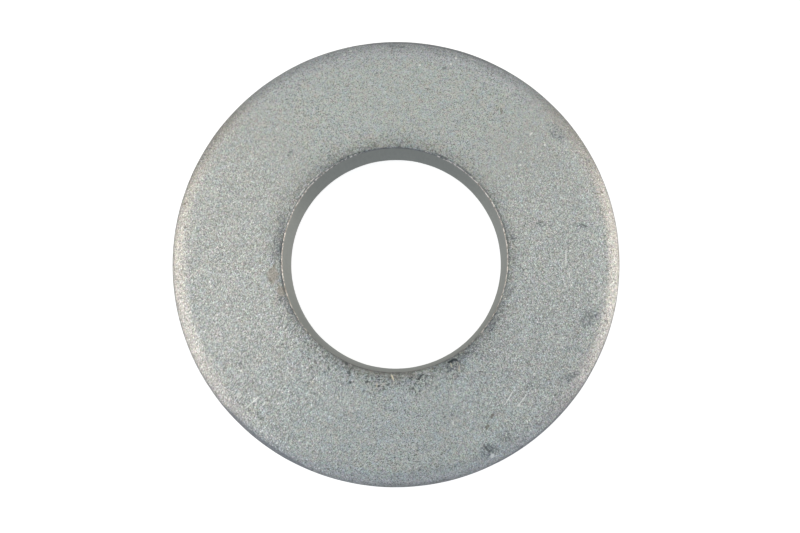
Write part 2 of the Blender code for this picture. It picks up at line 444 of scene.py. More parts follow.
def cone_blank(washer):
    """Tilts the blank, puts it beside the axis and presses its two seats level."""
    bpy.ops.mesh.select_all(action="SELECT")
    # With no window the operator turns the other way
    bpy.ops.transform.rotate(value=-CONE_ANGLE, orient_axis="Y", center_override=(0, 0, 0))
    widest = reach_along(washer, 0)[1]
    rise = (FREE_HEIGHT - sum(reach_along(washer, 2))) / 2
    bpy.ops.transform.translate(value=(OUTER_RADIUS - widest, 0, rise))
    for height, away in ((0, -1), (FREE_HEIGHT, 1)):
        bpy.ops.mesh.select_all(action="SELECT")
        bpy.ops.mesh.bisect(
            plane_co=(0, 0, height),
            plane_no=(0, 0, away),
            clear_outer=True,
            threshold=SAME_PLACE / 10,
        )
        seat = [p.co.x for p in bmesh.from_edit_mesh(washer.data).verts if same(p.co.z, height)]
        wall_side = min(seat) if away > 0 else max(seat)
        choose(washer, points=lambda p: same(p.z, height) and same(p.x, wall_side))
        bpy.ops.mesh.bevel(
            offset=EDGE_BREAK, segments=BREAK_STEPS, profile=0.5, affect="VERTICES"
        )


def divide_section(washer):
    """Leaves just the section's outline, with its long stretches cut up."""
    bpy.ops.mesh.select_all(action="SELECT")
    bpy.ops.mesh.delete(type="ONLY_FACE")

    def seat(a, b):
        return same(a.z, b.z) and (same(a.z, 0) or same(a.z, FREE_HEIGHT))

    def face(a, b, above):
        return (a - b).length > BLANK_WIDTH / 2 and (a.z + b.z > FREE_HEIGHT) == above

    def wall(a, b):
        return THICKNESS / 5 < (a - b).length < BLANK_WIDTH / 2

    choose(washer, edges=seat)
    bpy.ops.mesh.subdivide(number_cuts=SEAT_CUTS)
    choose(washer, edges=wall)
    bpy.ops.mesh.subdivide(number_cuts=WALL_CUTS)
    choose(washer, edges=lambda a, b: face(a, b, True))
    bpy.ops.mesh.subdivide(number_cuts=DOMED_FACE_CUTS)
    choose(washer, edges=lambda a, b: face(a, b, False))
    bpy.ops.mesh.subdivide(number_cuts=HOLLOW_FACE_CUTS)


def spin_section():
    """Spins the outline once round the axis to a closed ring whose faces point outwards."""
    bpy.ops.mesh.select_all(action="SELECT")
    bpy.ops.mesh.spin(steps=STEPS_ROUND, angle=math.tau, center=(0, 0, 0), axis=(0, 0, 1))
    bpy.ops.mesh.select_all(action="SELECT")
    bpy.ops.mesh.remove_doubles(threshold=SAME_PLACE)
    bpy.ops.mesh.normals_make_consistent(inside=False)


def ripple(washer, name, span, height):
    """Works soft swells of one span and height into the whole skin."""
    swells = bpy.data.textures.new(name, "CLOUDS")
    swells.noise_scale = span
    swells.noise_depth = 1
    press = washer.modifiers.new(name, "DISPLACE")
    press.texture = swells
    press.texture_coords = "LOCAL"
    press.mid_level = 0.5
    press.strength = height
    bpy.ops.object.modifier_apply(modifier=name)


def press_dents(washer):
    """Presses the photographed dents into the domed side, or lifts those of negative depth."""
    for dent in DENTS.values():
        middle = on_face(dent.x, dent.y)
        points = bmesh.from_edit_mesh(washer.data).verts
        nearest = min((point.co - middle).length for point in points) + SAME_PLACE
        choose(washer, points=lambda p: (p - middle).length < nearest)
        bpy.ops.transform.translate(
            value=(0, 0, -dent.depth),
            use_proportional_edit=True,
            proportional_edit_falloff="SMOOTH",
            proportional_size=dent.reach,
        )


def build_washer():
    deselect_all()
    washer = draw_blank()
    cone_blank(washer)
    divide_section(washer)
    spin_section()
    press_dents(washer)
    bpy.ops.object.mode_set(mode="OBJECT")
    ripple(washer, "swells", SWELL_SPAN, SWELL_HEIGHT)
    ripple(washer, "dimples", DIMPLE_SPAN, DIMPLE_HEIGHT)
    bpy.ops.object.shade_smooth_by_angle(angle=SMOOTH_UP_TO)
    return washer


# --------------------------------------------------------------- shader maths


class Worth:
    """A socket that carries a number, on which Python's operators add Math nodes."""

    def __init__(self, paint, socket):
        self.paint = paint
        self.socket = socket

    def by(self, operation, *others):
        return self.paint.maths(operation, self, *others)

    def __add__(self, other):
        return self.by("ADD", other)

    def __sub__(self, other):
        return self.by("SUBTRACT", other)

    def __mul__(self, other):
        return self.by("MULTIPLY", other)

    def __truediv__(self, other):
        return self.by("DIVIDE", other)

    def __pow__(self, other):
        return self.by("POWER", other)

    def __rsub__(self, other):
        return self.paint.maths("SUBTRACT", other, self)

    def __neg__(self):
        return self * -1

    __radd__ = __add__
    __rmul__ = __mul__


class Paint:
    """Adds nodes to one node tree."""

    def __init__(self, tree):
        self.tree = tree

    def node(self, kind, settings=None, sockets=None, out=0):
        """A node of a type, its settings made first, then its sockets; one output comes back."""
        made = self.tree.nodes.new(kind)
        for name, value in (settings or {}).items():
            setattr(made, name, value)
        for name, value in (sockets or {}).items():
            self.put(made.inputs[name], value)
        return Worth(self, made.outputs[out])

    def put(self, socket, value):
        if isinstance(value, Worth):
            self.tree.links.new(value.socket, socket)
        else:
            socket.default_value = value

    def maths(self, operation, *values):
        return self.node("ShaderNodeMath", {"operation": operation}, dict(enumerate(values)))

    def ramp(self, value, start, end, low=0.0, high=1.0):
        """Goes smoothly from low to high as the value goes from start to end."""
        if start > end:
            start, end, low, high = end, start, high, low
        return self.node(
            "ShaderNodeMapRange",
            {"interpolation_type": "SMOOTHSTEP"},
            {"Value": value, "From Min": start, "From Max": end, "To Min": low, "To Max": high},
        )

    def mix(self, share, first, second):
        """Goes from the first colour to the second."""
        return self.node(
            "ShaderNodeMix", {"data_type": "RGBA"}, {0: share, 6: first, 7: second}, out=2
        )

    def scaled(self, vector, factor):
        return self.node(
            "ShaderNodeVectorMath", {"operation": "SCALE"}, {0: vector, "Scale": factor}
        )

    def turned(self, vector, angle, scale):
        """The place as read by a pattern that is turned about Z and stretched."""
        return self.node(
            "ShaderNodeMapping",
            {"vector_type": "TEXTURE"},
            {"Vector": vector, "Rotation": (0, 0, angle), "Scale": scale},
        )

    def noise(self, place, per_mm, detail=1.0, roughness=0.5, out=0):
        return self.node(
            "ShaderNodeTexNoise",
            None,
            {"Vector": place, "Scale": per_mm, "Detail": detail, "Roughness": roughness},
            out=out,
        )

    def crystals(self, place, per_mm):
        """Cells of the given number per millimetre: how far off their middle is, and a chance each."""
        cells = self.node("ShaderNodeTexVoronoi", None, {"Vector": place, "Scale": per_mm})
        colour = Worth(self, cells.socket.node.outputs["Color"])
        chances = self.node("ShaderNodeSeparateColor", None, {0: colour})
        return cells, chances


# ---------------------------------------------------------------- zinc plate

PLATE = (0.400, 0.422, 0.400, 1.0)
PLATE_COOL = (0.384, 0.418, 0.418, 1.0)
PLATE_WARM = (0.426, 0.421, 0.393, 1.0)
WALL_GREY = (0.430, 0.441, 0.414)
WALL_OLIVE = (0.438, 0.443, 0.396, 1.0)
TAN_DEPOSIT = (0.345, 0.318, 0.276)
BROWN_STAIN = (0.165, 0.145, 0.115, 1.0)
PALE_SCRAPE = (0.760, 0.760, 0.730, 1.0)
CREAM_SCRAPE = (0.780, 0.680, 0.500, 1.0)
# Painted highlights along the bore's edge, a paler and a browner one
EDGE_GLINT = (0.960, 0.890, 0.830, 1.0)
BROWN_GLINT = (0.370, 0.305, 0.262, 1.0)
BLUE_SMEAR = (0.235, 0.255, 0.268, 1.0)
BLACK_PIT = (0.055, 0.062, 0.066, 1.0)
# The bore edge's painted dark where it does not glint
EDGE_LINE = (0.205, 0.198, 0.200, 1.0)
# The painted shade line round the outside
OUTER_LINE = (0.225, 0.228, 0.255, 1.0)
DARK_FRECKLE = (0.115, 0.125, 0.140, 1.0)
# Painted light on the rolled edge and the face beside it: cream where the side lights fall, mauve
# above and grey below
ROLL_CREAM_HIGHLIGHT = (0.437, 0.422, 0.398, 1.0)
ROLL_MAUVE = (0.397, 0.412, 0.429, 1.0)
ROLL_GREY = (0.410, 0.414, 0.406, 1.0)
TORN_BROWN = (0.270, 0.240, 0.235, 1.0)

# A pixel of the photograph on the domed face, in millimetres
PIXEL = 0.0994

# How far past its stated size a mark fades out, and over what share of itself
MARK_SPREAD = 1.1
MARK_SOFTNESS = 0.45

# Radii and heights of the painted borders, in millimetres, and how sharp the wall's are
WALL_END = 11.17
EDGE_END = 11.22
BORDER = 0.02
OUTER_WALL = 22.43
OUTER_BLUR = 0.03
WIDEST_HEIGHT = 3.24
OUTER_TEAR = 1.59
BORE_TEAR = 3.74
TEAR_BLUR = 0.05

# Stretches of radius, in millimetres, over which something sets in or ends
SPECKS_CROWD = (14.2, 11.3)
PITS_CROWD = (14.0, 12.2)
PEPPER_CROWDS = (15.2, 11.8)
SEAT_ENDS = (11.3, 11.6)
FACE_LEANS = (19.2, 20.7)
LEAN_ENDS = (21.6, 20.9)
CREAM_HIGHLIGHT_STARTS = (20.3, 21.9)
UPPER_RIM = (19.6, 21.4)
ROLL_STARTS = (21.2, 22.1)
STAIN_GROWS = (12.1, 11.5)
SOOT_GROWS = (12.7, 11.9)
SOOT_ENDS = (11.3, 11.5)
DARK_LINE_STARTS = (11.23, 11.26)
DARK_LINE_ENDS = (11.50, 11.34)
SECOND_LINE_STARTS = (11.36, 11.40)
SECOND_LINE_ENDS = (11.48, 11.44)
SHADE_FRECKLES_END = (22.5, 22.4)

# Radius at which the painted shade line round the outside starts, and how much its wide stretches add
OUTER_LINE_START = 22.40
OUTER_LINE_WIDENS = 0.36

# Stretches of height, in millimetres, over which something sets in
EDGE_GLINT_RISES = (4.5, 5.5)
WALL_RUST_RISES = (4.3, 5.6)
OUTER_LINE_RISES = (3.1, 3.5)

# Cells or waves of each pattern per millimetre
WANDER = 2.2
STROKES = 10.5
SIDE_CRYSTALS = 30.0
TOP_CRYSTALS = 20.0
UPRIGHT_STREAKS = 4.5
BLOTCHES = 0.55
PALE_FLECKS = 3.0
SPECKS = 3.6
PITS = 3.4
PEPPER = 6.0
CROWDS = 0.9
HUES = 1.1
SPECKLES = 4.0
MOTTLES = 2.8
FRECKLES = 5.5
RUST = 4.2
RING_WAVES = 1.6
BEADS = 4.2
LONG_BEADS = 1.9
CRUMBS = 5.0
BUMPS = 10.0

# Waves of each pattern on the cut walls per radian of turn, and how little they change upwards
WALL_STREAKS = 60.0
TEAR_WAVES = 14.0
CHANGE_UPWARDS = 0.01

# How a brushed pattern lies: its lean in degrees and its stretch
STROKE_LEAN = 62
STROKE_STRETCH = (3.9, 1.15, 1.0)
CRYSTAL_LEAN = -12
CRYSTAL_STRETCH = (1.0, 2.0, 1.0)

# Share of the height that the swept grain follows, and how far apart its two sides are read
SWEPT_RISE = 0.3
SIDES_APART = 20.0

# The plate's brightness before its changes by place, its roughness and its finest relief
BASE_BRIGHTNESS = 0.975
PLATE_ROUGHNESS = 0.44
RELIEF_STRENGTH = 0.5
RELIEF_HEIGHT = 0.006 * MM

# A change of brightness, which sets in between two shares of facing a direction in degrees
# and between two radii in millimetres; None stands for everywhere
Shade = namedtuple("Shade", "change direction towards radii")

SHADES = {
    "beside the bore": Shade(-0.14, None, None, (12.5, 11.3)),
    "round the bore": Shade(-0.03, None, None, (13.8, 12.0)),
    "10 o'clock, by the bore": Shade(-0.07, 150, (0.75, 0.97), (14.2, 12.0)),
    "10 o'clock": Shade(-0.02, 150, (0.6, 1.0), None),
    "3 o'clock": Shade(0.03, 8, (0.8, 1.0), None),
    "6 o'clock": Shade(-0.03, 268, (0.88, 1.0), (14.5, 16.5)),
    "right of the bore": Shade(-0.09, 345, (0.45, 0.95), (12.3, 11.3)),
    # Painted highlight on the rolled edge
    "rolled edge, 7 o'clock": Shade(0.06, 242, (0.90, 0.98), (20.2, 21.2)),
    "4 o'clock": Shade(-0.05, 331, (0.93, 0.99), (18.3, 19.3)),
    # Painted shade on the rolled edge
    "rolled edge, 6 o'clock": Shade(-0.13, 270, (0.85, 1.0), (21.9, 22.3)),
}

# What the coats of the plate share: where a place is, how far it belongs to the rolled edge,
# its sides and its upper half, the patterns of its dirt and painted shade, and its share of the cut
# walls
Spot = namedtuple("Spot", "place height radius right up swept")
Roll = namedtuple("Roll", "share flank above")
DirtAndShade = namedtuple("DirtAndShade", "ragged mottle freckle")
Walls = namedtuple("Walls", "share torn crumbs outside")


def find_spot(paint):
    """Where the shaded point is: in millimetres, and as shares of the way right and up."""
    metres = paint.node("ShaderNodeTexCoord", out="Object")
    place = paint.scaled(metres, 1 / MM)
    axes = paint.node("ShaderNodeSeparateXYZ", None, {0: place})
    x, y, z = (Worth(paint, axes.socket.node.outputs[name]) for name in "XYZ")
    radius = (x * x + y * y) ** 0.5
    # Both sides were swept alike, each with a grain of its own, as fine on the rolled edge
    side = paint.maths("GREATER_THAN", x, 0.0)
    across = -paint.maths("ABSOLUTE", x)
    rise = SWEPT_RISE * z + SIDES_APART * side
    swept = paint.node("ShaderNodeCombineXYZ", None, {0: across, 1: y, 2: rise})
    return Spot(place, z, radius, x / radius, y / radius, swept)


def facing(spot, degrees):
    """1 on the ray that leaves the axis at an angle, and 0 a quarter turn from it."""
    turn = math.radians(degrees)
    return spot.right * math.cos(turn) + spot.up * math.sin(turn)


def ragged_place(paint, spot):
    """The place, moved about by up to a quarter of a millimetre, which frays a mark."""
    wander = paint.noise(spot.place, WANDER, 2.0, 0.5, out=1)
    shift = paint.node(
        "ShaderNodeVectorMath",
        {"operation": "MULTIPLY_ADD"},
        {0: wander, 1: (0.5, 0.5, 0), 2: (-0.25, -0.25, 0)},
    )
    return paint.node("ShaderNodeVectorMath", {"operation": "ADD"}, {0: spot.place, 1: shift})


def inside_round(paint, local):
    """1 in the middle of a round mark, and 0 from its rim on."""
    return paint.node(
        "ShaderNodeTexGradient", {"gradient_type": "SPHERICAL"}, {"Vector": local}, out="Fac"
    )


def inside_pointed(paint, local):
    """1 in the middle of a four-pointed mark, and 0 or less from its rim on."""
    sizes = paint.node("ShaderNodeVectorMath", {"operation": "ABSOLUTE"}, {0: local})
    return 1.0 - paint.node(
        "ShaderNodeVectorMath",
        {"operation": "DOT_PRODUCT"},
        {0: sizes, 1: (1, 1, 1)},
        out="Value",
    )


def touched(paint, place, marks, inside=inside_round):
    """Strength of the strongest mark at the place, soft at its edge."""
    reach = MARK_SPREAD * PIXEL / 2
    share = None
    for mark in marks.values():
        local = paint.node(
            "ShaderNodeMapping",
            {"vector_type": "TEXTURE"},
            {
                "Vector": place,
                "Location": on_face(mark.x, mark.y) / MM,
                "Rotation": (0, 0, math.radians(mark.lean)),
                "Scale": (mark.length * reach, mark.width * reach, 1.0),
            },
        )
        worth = paint.ramp(inside(paint, local), 0.0, MARK_SOFTNESS, 0.0, mark.strength)
        share = worth if share is None else paint.maths("MAXIMUM", share, worth)
    return share


def swept_strokes(paint, spot):
    """Short leaning strokes that the drum left side by side, 0.5 on average."""
    leaned = paint.turned(spot.swept, math.radians(STROKE_LEAN), STROKE_STRETCH)
    return paint.noise(leaned, STROKES, 1.0, 0.5)


def crystal_tone(paint, spot, strokes):
    """Brightness of the plate's crystals: pale upright ones at the sides, which are painted glints,
    and dark ones above.
    """
    # Painted sparkle: the grain's contrast goes by direction, strongest below and at the sides,
    # faintest above
    depth = 0.98 + 0.13 * (spot.right * spot.right - spot.up * spot.up) - 0.030 * spot.right
    depth = depth - 0.33 * spot.up
    upright = paint.turned(spot.swept, math.radians(CRYSTAL_LEAN), CRYSTAL_STRETCH)
    _, side_chance = paint.crystals(upright, SIDE_CRYSTALS)
    _, top_chance = paint.crystals(spot.swept, TOP_CRYSTALS)
    # A squared chance is a third on average, so neither kind shifts the plate's tone
    pale = side_chance * side_chance - 1 / 3
    dark = 1 / 3 - top_chance * top_chance
    # At the sides the crystals are pale and, low down, streaked, as painted glints of the side lights
    sideways = paint.ramp(spot.right * spot.right - 0.25 * spot.up, 0.0, 0.6)
    crystals = 1.22 * dark + sideways * (pale - 1.22 * dark)
    low_sides = sideways * paint.ramp(spot.up, 0.15, -0.45)
    streaked = 0.10 * sideways * (paint.noise(upright, UPRIGHT_STREAKS, 2.0, 0.6) - 0.5)
    streaked = streaked + 0.50 * low_sides * (strokes - 0.5)
    blotch = paint.noise(spot.place, BLOTCHES, 3.0, 0.55) - 0.5
    depth = 1.58 * depth * (1.0 - 0.14 * low_sides)
    return 1.0 + depth * crystals + streaked + 0.08 * blotch


def brightness_by_place(paint, spot):
    """Brightness of the plate by place: stained darker round the bore, darker in a few other places,
    with painted highlight and shade on the rolled edge and just inside it.
    """
    bright = BASE_BRIGHTNESS
    for shade in SHADES.values():
        change = shade.change
        if shade.towards:
            change = change * paint.ramp(facing(spot, shade.direction), *shade.towards)
        if shade.radii:
            change = change * paint.ramp(spot.radius, *shade.radii)
        bright = bright + change
    # Painted highlight and shade: just inside the rolled edge the face is painted paler at the sides
    # and a little darker above and below, as a face leaning there would catch the side lights
    lean_highlight_and_shade = paint.ramp(spot.radius, *FACE_LEANS) * paint.ramp(spot.radius, *LEAN_ENDS)
    return bright + lean_highlight_and_shade * (0.11 * spot.right * spot.right + 0.035 * spot.right - 0.045)


def plate_colour(paint, spot):
    """The plate's colour with a painted cream highlight at the sides and painted tints on the rolled
    edge, and the shares of its rolled edge, its sides and its upper half.
    """
    hue = paint.noise(spot.place, HUES, 3.0, 0.6)
    plate = paint.mix(paint.ramp(hue, 0.48, 0.66), PLATE, PLATE_COOL)
    plate = paint.mix(paint.ramp(hue, 0.46, 0.3), plate, PLATE_WARM)
    rolled = paint.ramp(spot.radius, *ROLL_STARTS)
    flank = paint.ramp(spot.right * spot.right, 0.22, 0.60)
    # Painted highlight: a cream tint at the sides, at a quarter strength on the face and full on the
    # rolled edge, where the side lights fall
    cream_highlight = 0.25 + 0.75 * paint.ramp(spot.radius, *CREAM_HIGHLIGHT_STARTS)
    plate = paint.mix(cream_highlight * flank, plate, ROLL_CREAM_HIGHLIGHT)
    # Painted light: away from the sides the rolled edge is tinted mauve above and grey below, and the
    # face's upper rim mauve, lit and shaded tints of one plate
    above = paint.ramp(spot.up, -0.3, 0.3)
    plate = paint.mix(rolled * (1.0 - flank), plate, paint.mix(above, ROLL_GREY, ROLL_MAUVE))
    mauve = 0.8 * above * (1.0 - flank) * paint.ramp(spot.radius, *UPPER_RIM)
    plate = paint.mix(mauve, plate, ROLL_MAUVE)
    speckle = paint.noise(spot.swept, SPECKLES, 2.0, 0.6, out=1)
    return paint.mix(0.14, plate, speckle), Roll(rolled, flank, above)


def stroke_glint_share(paint, spot, strokes):
    """The palest of the strokes, painted glints of the side lights, thickest on the left, and pale
    flecks all over.
    """
    reach = paint.ramp(facing(spot, 200), -0.1, 1.0)
    reach = reach + 0.45 * paint.ramp(facing(spot, 340), 0.3, 1.0)
    away, chance = paint.crystals(spot.place, PALE_FLECKS)
    flecks = paint.ramp(chance, 0.93, 0.97) * paint.ramp(away, 0.26, 0.12)
    return paint.ramp(strokes, 0.59, 0.71) * reach + 0.9 * flecks


def speck_share(paint, spot):
    """Dark specks, crowded round the bore and scattered over the upper face."""
    specks = paint.noise(spot.place, SPECKS, 3.0, 0.65)
    near = paint.ramp(spot.radius, *SPECKS_CROWD)
    start = 0.665 - 0.143 * near - 0.03 * spot.up * spot.up
    start = start - 0.05 * paint.ramp(spot.up, 0.3, 0.9) * paint.ramp(spot.radius, *UPPER_RIM)
    return paint.ramp(specks - start, 0.0, 0.09)


def pit_share(paint, spot):
    """Black pits below the bore, and finer ones like ground pepper round its lower half."""
    away, chance = paint.crystals(spot.place, PITS)
    below = paint.ramp(facing(spot, 250), 0.70, 0.92)
    clear = paint.ramp(spot.radius, *SEAT_ENDS)
    near = paint.ramp(spot.radius, *PITS_CROWD) * clear
    chosen = paint.ramp(chance + 0.62 * below * near, 0.97, 1.40)
    lower = paint.ramp(facing(spot, 268), 0.10, 0.75)
    crowd = paint.noise(spot.place, CROWDS, 2.0, 0.6) - 0.5
    ground = paint.noise(spot.place, PEPPER, 2.0, 0.6)
    pits = chosen * paint.ramp(away, 0.38, 0.14) * paint.ramp(ground, 0.40, 0.50)
    spread = paint.ramp(spot.radius, *PEPPER_CROWDS) * clear * lower
    pepper = paint.ramp(ground + 0.35 * crowd + 0.11 * spread, 0.675, 0.725)
    pepper = pepper * paint.ramp(spread, 0.0, 0.3)
    return paint.maths("MAXIMUM", 0.70 * pits, 0.55 * pepper)


def smeared(paint, dirt_and_shade, tone, colour):
    """The colour under freckled blue smears and the two tan deposits with brown rims."""
    patches = touched(paint, dirt_and_shade.ragged, DARK_PATCHES)
    colour = paint.mix(0.28 * patches * paint.ramp(dirt_and_shade.mottle, 0.35, 0.6), colour, BLUE_SMEAR)
    freckles = patches * paint.ramp(dirt_and_shade.freckle + 0.35 * (dirt_and_shade.mottle - 0.5), 0.51, 0.57)
    colour = paint.mix(0.60 * freckles, colour, DARK_FRECKLE)
    tan = touched(paint, dirt_and_shade.ragged, TAN_PATCHES, inside_pointed)
    tan_rim = tan * (1.0 - tan) * 4.0
    colour = paint.mix(0.80 * tan, colour, paint.scaled(TAN_DEPOSIT, 0.5 + 0.5 * tone))
    return paint.mix(0.50 * tan_rim * paint.ramp(dirt_and_shade.mottle, 0.4, 0.55), colour, BROWN_STAIN)


def stained(paint, spot, dirt_and_shade, roll, colour):
    """The colour under the stain below the bore, soot above it, and the rolled edge's rust."""
    low_arc = paint.ramp(facing(spot, 262), 0.90, 0.98)
    stain = low_arc * paint.ramp(spot.radius, *STAIN_GROWS) * paint.ramp(dirt_and_shade.mottle, 0.25, 0.5)
    colour = paint.mix(0.34 * stain, colour, BROWN_STAIN)
    top_arc = paint.ramp(facing(spot, 92), 0.75, 0.95) * paint.ramp(spot.radius, *SOOT_GROWS)
    soot = top_arc * paint.ramp(spot.radius, *SOOT_ENDS) * paint.ramp(dirt_and_shade.freckle, 0.52, 0.62)
    colour = paint.mix(0.40 * soot, colour, BROWN_STAIN)
    flecks = roll.share * (1.0 - roll.flank) * paint.ramp(dirt_and_shade.freckle, 0.45, 0.38)
    colour = paint.mix(0.25 * flecks, colour, PALE_SCRAPE)
    rust = roll.share * paint.ramp(paint.noise(spot.place, RUST, 3.0, 0.7), 0.60, 0.70)
    colour = paint.mix((0.30 + 0.14 * roll.above) * rust, colour, BROWN_STAIN)
    return paint.mix(touched(paint, dirt_and_shade.ragged, BROWN_MARKS), colour, BROWN_STAIN)


def scarred(paint, spot, dirt_and_shade, colour):
    """The colour with its pits, specks and scratches, and the shares of pits and scratches."""
    pits = pit_share(paint, spot)
    pits = paint.maths("MAXIMUM", pits, touched(paint, dirt_and_shade.ragged, DARK_NICKS))
    colour = paint.mix(pits, colour, BLACK_PIT)
    colour = paint.mix(touched(paint, dirt_and_shade.ragged, GREY_SPECKS), colour, BLACK_PIT)
    scrapes = touched(paint, spot.place, PALE_SCRATCHES)
    colour = paint.mix(scrapes, colour, PALE_SCRAPE)
    colour = paint.mix(touched(paint, spot.place, CREAM_SCRATCHES), colour, CREAM_SCRAPE)
    return colour, pits, scrapes


def bore_edged(paint, spot, ring, colour):
    """The colour with a dark line round the bore's seat, then a painted highlight along the edge,
    broken up, which is painted dark where it does not glint.
    """
    wavy = spot.radius + 0.10 * (ring - 0.5)
    # A thin dark line round the seat, left out at the foot, the top and 10 o'clock
    line_gaps = 0.45 * paint.ramp(facing(spot, 255), 0.50, 0.95)
    line_gaps = line_gaps + 0.85 * paint.ramp(facing(spot, 90), 0.90, 0.99)
    line_gaps = line_gaps + 0.85 * paint.ramp(facing(spot, 144), 0.88, 0.96)
    dark_line = paint.ramp(wavy, *DARK_LINE_STARTS) * paint.ramp(wavy, *DARK_LINE_ENDS)
    dark_line = dark_line * paint.ramp(ring, 0.25, 0.55) * (1.0 - line_gaps)
    colour = paint.mix(0.58 * dark_line, colour, BLACK_PIT)
    bead = paint.noise(spot.place, BEADS, 1.0, 0.5)
    beads = 0.55 * bead + 0.45 * paint.noise(spot.place, LONG_BEADS, 2.0, 0.6)
    # At 10 o'clock a second painted highlight line runs beside the first
    second = paint.ramp(wavy, *SECOND_LINE_STARTS) * paint.ramp(wavy, *SECOND_LINE_ENDS)
    second = second * paint.ramp(facing(spot, 146), 0.94, 0.99) * paint.ramp(beads, 0.46, 0.52)
    colour = paint.mix(0.55 * second, colour, EDGE_GLINT)
    # Painted highlight: the edge glints at the sides, where the side lights fall, is painted dark at
    # the top and foot, and is broken up by beads
    edge = paint.ramp(wavy, EDGE_END + BORDER, EDGE_END)
    edge = edge * paint.ramp(spot.radius, WALL_END - BORDER, WALL_END)
    edge = edge * paint.ramp(spot.height, *EDGE_GLINT_RISES)
    sides = paint.ramp(spot.right * spot.right + 0.30 * spot.up, 0.10, 0.80)
    sides = sides - 0.8 * paint.ramp(facing(spot, 90), 0.93, 0.99)
    sides = sides - 0.5 * paint.ramp(facing(spot, 268), 0.8, 0.95)
    bright = paint.ramp(beads + 0.16 * sides, 0.55, 0.60)
    paler_glint = paint.ramp(bead + 0.025 * spot.right, 0.482, 0.532)
    edge = edge * (1.0 - 0.6 * (1.0 - bright) * paint.ramp(bead, 0.54, 0.48))
    rim = paint.mix(bright, EDGE_LINE, paint.mix(paler_glint, BROWN_GLINT, EDGE_GLINT))
    return paint.mix(0.92 * edge, colour, rim)


def walled(paint, spot, ring, colour):
    """The colour with the cut walls, smooth where they were shorn and darker where they tore, with
    painted shade towards the top and on the bore wall's left.
    """
    upwards = CHANGE_UPWARDS * spot.height
    drawn = paint.node("ShaderNodeCombineXYZ", None, {0: spot.right, 1: spot.up, 2: upwards})
    streaks = paint.noise(drawn, WALL_STREAKS, 3.0, 0.6)
    ragged_tear = 0.5 * (paint.noise(drawn, TEAR_WAVES, 3.0, 0.6) - 0.5)
    bore_wall = paint.ramp(spot.radius, WALL_END, WALL_END - BORDER)
    outside = spot.radius + 0.12 * (WIDEST_HEIGHT - spot.height)
    outer_wall = paint.ramp(outside, OUTER_WALL - OUTER_BLUR, OUTER_WALL + OUTER_BLUR)
    share = paint.maths("MAXIMUM", bore_wall, outer_wall)
    level = spot.height + ragged_tear
    torn_outside = outer_wall * paint.ramp(level, OUTER_TEAR + TEAR_BLUR, OUTER_TEAR - TEAR_BLUR)
    torn_inside = bore_wall * paint.ramp(level, BORE_TEAR - TEAR_BLUR, BORE_TEAR + TEAR_BLUR)
    crumbs = paint.noise(spot.place, CRUMBS, 3.0, 0.7) - 0.5
    # Painted shade: the walls are darker towards the top, and the bore wall darker on its left,
    # besides their streaks and torn bands
    shade = 1.02 - 0.17 * paint.ramp(spot.up, 0.3, 1.0) + 0.22 * (streaks - 0.5)
    shade = shade - 0.13 * bore_wall * paint.ramp(spot.right, -0.45, -0.90)
    shade = shade + torn_outside * (0.55 * crumbs - 0.14) + torn_inside * (0.10 * crumbs - 0.015)
    plain = paint.mix(paint.ramp(spot.up, 0.1, 0.7), (*WALL_GREY, 1.0), WALL_OLIVE)
    wall = paint.scaled(plain, shade)
    lower = paint.ramp(facing(spot, 285), 0.35, 0.85) * paint.ramp(spot.height, *WALL_RUST_RISES)
    wall = paint.mix(0.45 * lower * paint.ramp(ring, 0.35, 0.55), wall, TORN_BROWN)
    return paint.mix(share, colour, wall), Walls(share, torn_outside, crumbs, outside)


def outer_edged(paint, spot, dirt_and_shade, ring, roll, outside, colour):
    """The colour with a painted shade line in blue-grey round the outside, wide low on the left and at
    the top, where freckles deepen it.
    """
    low_left = paint.ramp(facing(spot, 234), 0.96, 0.99)
    wide = paint.maths("MAXIMUM", low_left, paint.ramp(facing(spot, 79), 0.90, 0.97))
    start = OUTER_LINE_START - OUTER_LINE_WIDENS * wide - 0.12 * (ring - 0.5)
    start = start - 0.12 * paint.ramp(facing(spot, 318), 0.86, 0.97)
    start = start - 0.08 * paint.ramp(facing(spot, 30), 0.88, 0.98)
    line = paint.ramp(spot.radius - start, 0.0, 0.10) * paint.ramp(spot.height, *OUTER_LINE_RISES)
    colour = paint.mix(0.55 * line, colour, OUTER_LINE)
    # Freckles that deepen the painted shade on the line's wide stretches
    shade_freckles = wide * roll.share * paint.ramp(dirt_and_shade.freckle + 0.5 * (dirt_and_shade.mottle - 0.5), 0.47, 0.60)
    shade_freckles = shade_freckles * paint.ramp(outside, *SHADE_FRECKLES_END)
    return paint.mix(0.14 * shade_freckles, colour, DARK_FRECKLE)


